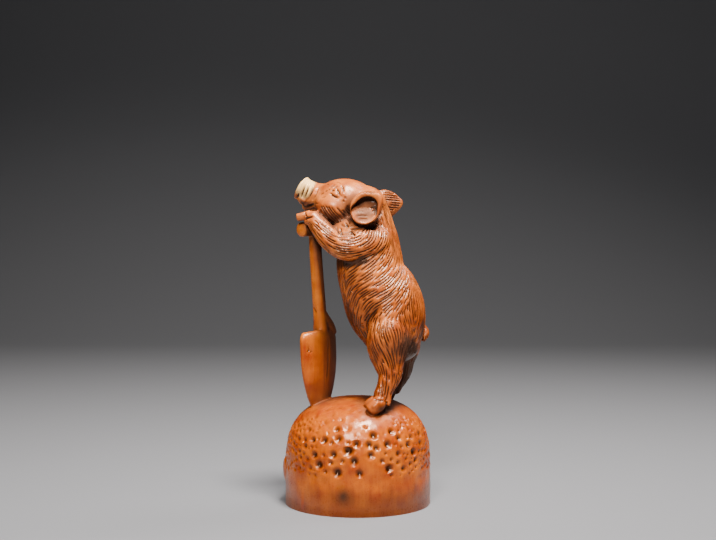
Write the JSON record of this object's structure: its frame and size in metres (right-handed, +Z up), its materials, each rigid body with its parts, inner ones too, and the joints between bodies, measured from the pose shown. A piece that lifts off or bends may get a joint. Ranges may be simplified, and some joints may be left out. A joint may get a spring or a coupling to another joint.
{
  "type": "wooden figurine",
  "caption": "Carved boxwood ornament: a small pig stands upright on a round pitted mound and leans on a spade, chin and trotters on its crossbar.",
  "frame": {"origin": "middle of the mound's flat round underside", "axes": "+Z up; the pig looks towards -X with its left side towards -Y, where the picture was taken from"},
  "size_m": [0.0428, 0.042, 0.0941],
  "materials": {
    "boxwood": "waxed and polished boxwood, warm orange brown, darker in the cuts"
  },
  "bodies": {
    "root": {"pig_carving": "boxwood"}
  },
  "joints": []
}
